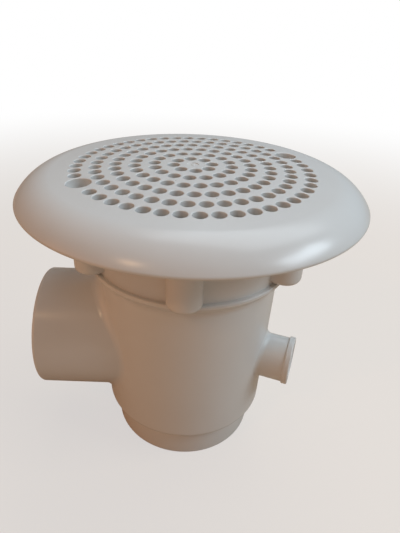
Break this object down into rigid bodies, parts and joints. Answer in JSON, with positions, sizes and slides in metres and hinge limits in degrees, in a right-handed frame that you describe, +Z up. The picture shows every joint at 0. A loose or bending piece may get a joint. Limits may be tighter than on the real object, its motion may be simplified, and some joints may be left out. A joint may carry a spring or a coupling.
{
  "type": "pool main drain",
  "caption": "Deep pool main drain with a domed round grille, flanged neck with screw bosses, side outlet socket and small side stub.",
  "frame": {"origin": "centre of the sump's flat foot", "axes": "+Z up to the grille, -X along the large outlet"},
  "size_m": [0.2262, 0.2262, 0.215],
  "materials": {
    "white_abs": "glossy moulded",
    "black_rubber": "matte",
    "stainless_steel": "bright",
    "brass": "satin"
  },
  "bodies": {
    "root": {"cover_grille": "white_abs", "clamp_ring": "white_abs", "upper_gasket": "black_rubber", "lower_gasket": "black_rubber", "neck_flange": "white_abs", "sump_body": "white_abs", "cover_screw_1": "stainless_steel", "cover_screw_2": "stainless_steel", "ring_screw_1": "stainless_steel", "ring_screw_2": "stainless_steel", "ring_screw_3": "stainless_steel", "ring_screw_4": "stainless_steel", "threaded_insert_1": "brass", "threaded_insert_2": "brass", "threaded_insert_3": "brass", "threaded_insert_4": "brass", "threaded_insert_5": "brass", "threaded_insert_6": "brass", "base_plug": "white_abs", "plug_oring": "black_rubber"}
  },
  "joints": []
}
